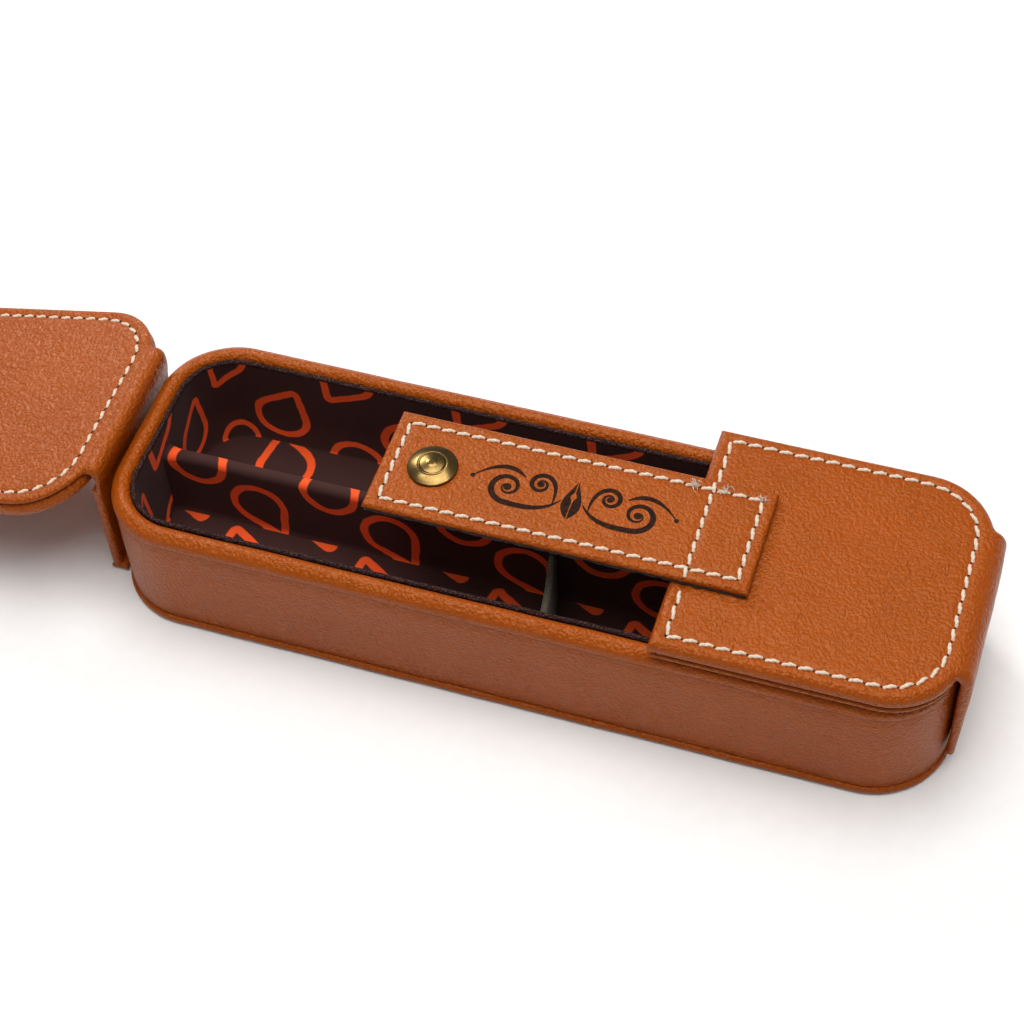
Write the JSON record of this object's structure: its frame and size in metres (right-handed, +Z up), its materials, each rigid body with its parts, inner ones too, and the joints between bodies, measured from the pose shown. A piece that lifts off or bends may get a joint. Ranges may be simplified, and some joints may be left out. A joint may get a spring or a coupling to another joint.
{
  "type": "fountain pen case",
  "caption": "Leather-wrapped pen tray with a fabric lining, a fixed pocket panel, a fold-back lid and a stitched closure tab with a brass press stud.",
  "frame": {"origin": "middle of the base panel's underside, on the table", "axes": "+X along the case from the lid's end to the pocket's end, +Z up out of the tray"},
  "size_m": [0.2923, 0.0544, 0.038],
  "materials": {
    "greyboard": "grey pressed board, hidden",
    "printed_fabric": "dark brown satin weave with an orange outline print",
    "padding": "soft foam, hidden",
    "divider_web": "dark olive ribbed webbing",
    "cream_thread": "waxed cream sewing thread",
    "black_felt": "black felt",
    "aged_brass": "lightly aged polished brass",
    "tan_leather": "tan pebble-grain leather, satin finish"
  },
  "bodies": {
    "tray": {"base_board": "greyboard", "base_leather": "tan_leather", "tray_floor": "greyboard", "tray_wall": "greyboard", "rim_core": "padding", "tray_leather": "tan_leather", "lining_wall": "printed_fabric", "lining_floor": "printed_fabric", "partition_core": "padding", "partition_fabric": "printed_fabric", "cross_divider": "divider_web", "pocket_board": "greyboard", "pocket_leather": "tan_leather", "pocket_lining": "tan_leather", "pocket_thread": "cream_thread", "right_strip_leather": "tan_leather", "right_strip_board": "greyboard", "left_strip_leather": "tan_leather", "left_strip_board": "greyboard", "lid_hinge_leather": "tan_leather", "tab_anchor_leather": "tan_leather", "tab_anchor_felt": "black_felt", "tab_anchor_thread": "cream_thread"},
    "lid": {"lid_board": "greyboard", "lid_outer_leather": "tan_leather", "lid_inner_leather": "tan_leather", "lid_thread": "cream_thread", "lid_snap_stud": "aged_brass", "lid_snap_post": "aged_brass"},
    "tab": {"tab_flap_leather": "tan_leather", "tab_flap_felt": "black_felt", "tab_flap_thread": "cream_thread", "snap_cap": "aged_brass", "snap_socket": "aged_brass"}
  },
  "joints": [
    {"name": "lid_fold", "type": "hinge", "parent": "tray", "child": "lid", "pos_m": [-0.0888, 0, 0.03105], "axis": [0, 1, 0], "range_deg": [0, 193.66], "deforming": ["lid_hinge_leather"]},
    {"name": "tab_fold", "type": "hinge", "parent": "tray", "child": "tab", "pos_m": [0.0317, 0, 0.0361], "axis": [0, 1, 0], "range_deg": [0, 124.4]}
  ],
  "couplings": [
    {"joint": "tab_fold", "follows": "lid_fold", "ratio": 0.64}
  ]
}
